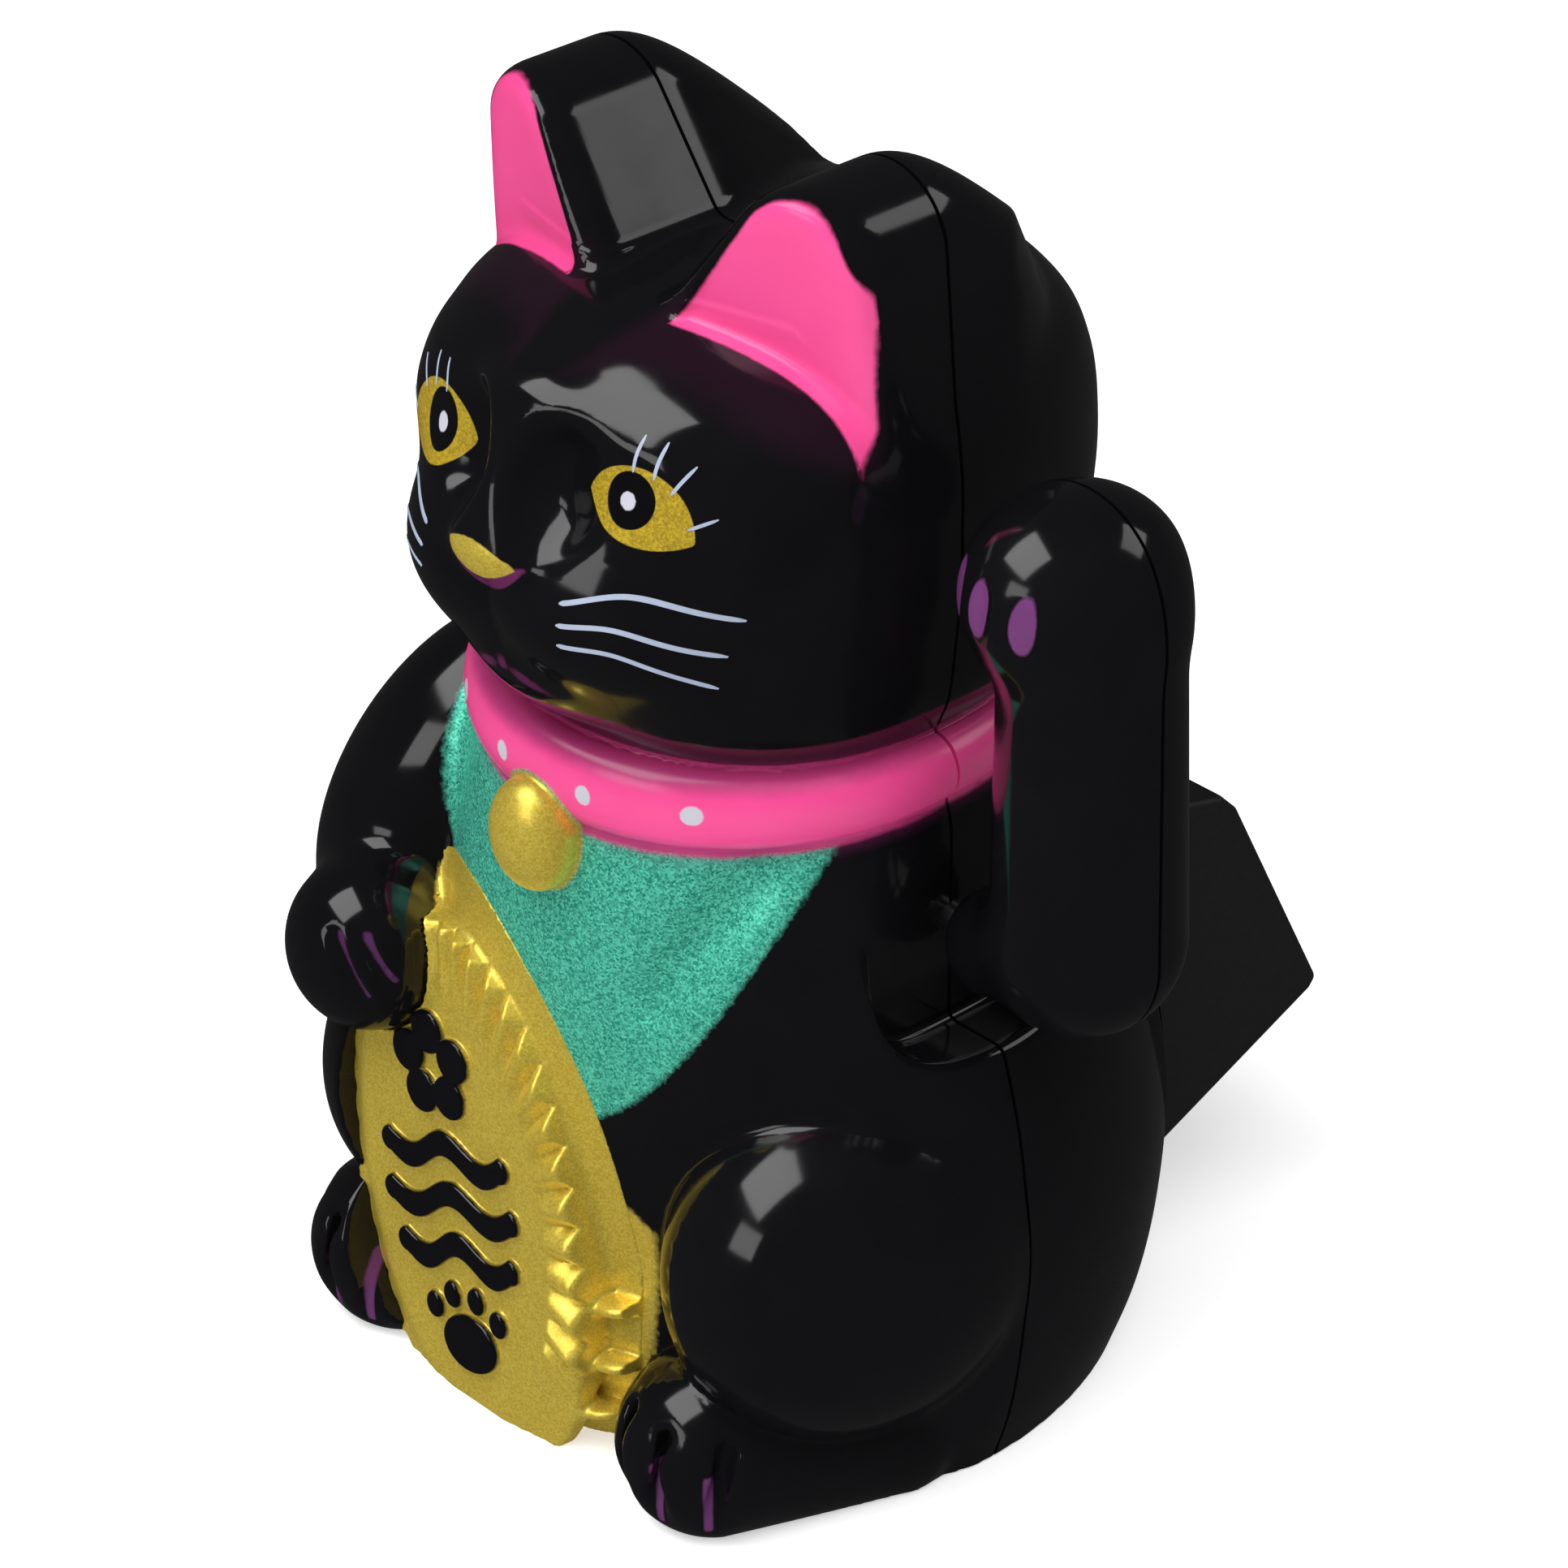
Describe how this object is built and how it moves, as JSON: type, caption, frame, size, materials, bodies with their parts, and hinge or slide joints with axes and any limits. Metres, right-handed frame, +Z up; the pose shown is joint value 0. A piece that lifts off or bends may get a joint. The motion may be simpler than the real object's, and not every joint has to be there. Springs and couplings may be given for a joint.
{
  "type": "beckoning cat figurine",
  "caption": "Free-standing black beckoning cat ornament with a solar housing on its back and a freely swinging raised arm driven by a coil and magnet.",
  "frame": {"origin": "on the flat underside of the base, on the symmetry plane and below the parting line of the front and rear shells", "axes": "+Z up, -Y the way the cat faces, +X towards the raised arm; the swing axis of the arm is parallel to X"},
  "size_m": [0.0922, 0.0915, 0.1305],
  "materials": {
    "gloss_black": "glossy moulded ABS, deep black, with sprayed colour areas",
    "matte_black": "matt black moulded plastic with a fine texture",
    "inner_plastic": "unpainted natural grey-white moulded plastic",
    "solar_silicon": "dark blue solar cell with thin silver lines",
    "clear_pane": "clear window pane",
    "steel": "plain steel",
    "zinc_screw": "zinc-plated steel screws",
    "nickel_magnet": "nickel-plated magnet",
    "copper_enamel": "enamelled copper wire",
    "board_green": "green solder-masked circuit board",
    "capacitor_can": "aluminium can with a dark sleeve",
    "chip_black": "black moulded chip with tinned legs",
    "resistor_body": "beige resistor body with tinned leads",
    "wire_red": "red insulated lead",
    "wire_black": "black insulated lead"
  },
  "bodies": {
    "body": {"front_shell": "gloss_black", "rear_shell": "gloss_black", "base_cover": "matte_black", "solar_housing": "matte_black", "solar_window": "clear_pane", "solar_cell": "solar_silicon", "base_screws": "zinc_screw", "housing_screws": "zinc_screw", "frame_screws": "zinc_screw", "board_screws": "zinc_screw", "pivot_frame": "inner_plastic", "coil_bobbin": "inner_plastic", "coil_winding": "copper_enamel", "coil_leads": "copper_enamel", "circuit_board": "board_green", "storage_capacitor": "capacitor_can", "driver_chip": "chip_black", "resistor": "resistor_body", "lead_positive": "wire_red", "lead_negative": "wire_black"},
    "arm": {"arm_front_shell": "gloss_black", "arm_rear_shell": "gloss_black", "arm_axle": "steel", "axle_clip": "steel", "pendulum_lever": "inner_plastic", "pendulum_magnet": "nickel_magnet", "counterweight": "steel", "lever_screw": "zinc_screw"}
  },
  "joints": [
    {"name": "arm_swing", "type": "hinge", "parent": "body", "child": "arm", "pos_m": [0, 0, 0.0575], "axis": [1, 0, 0], "range_deg": [-18, 18]}
  ]
}
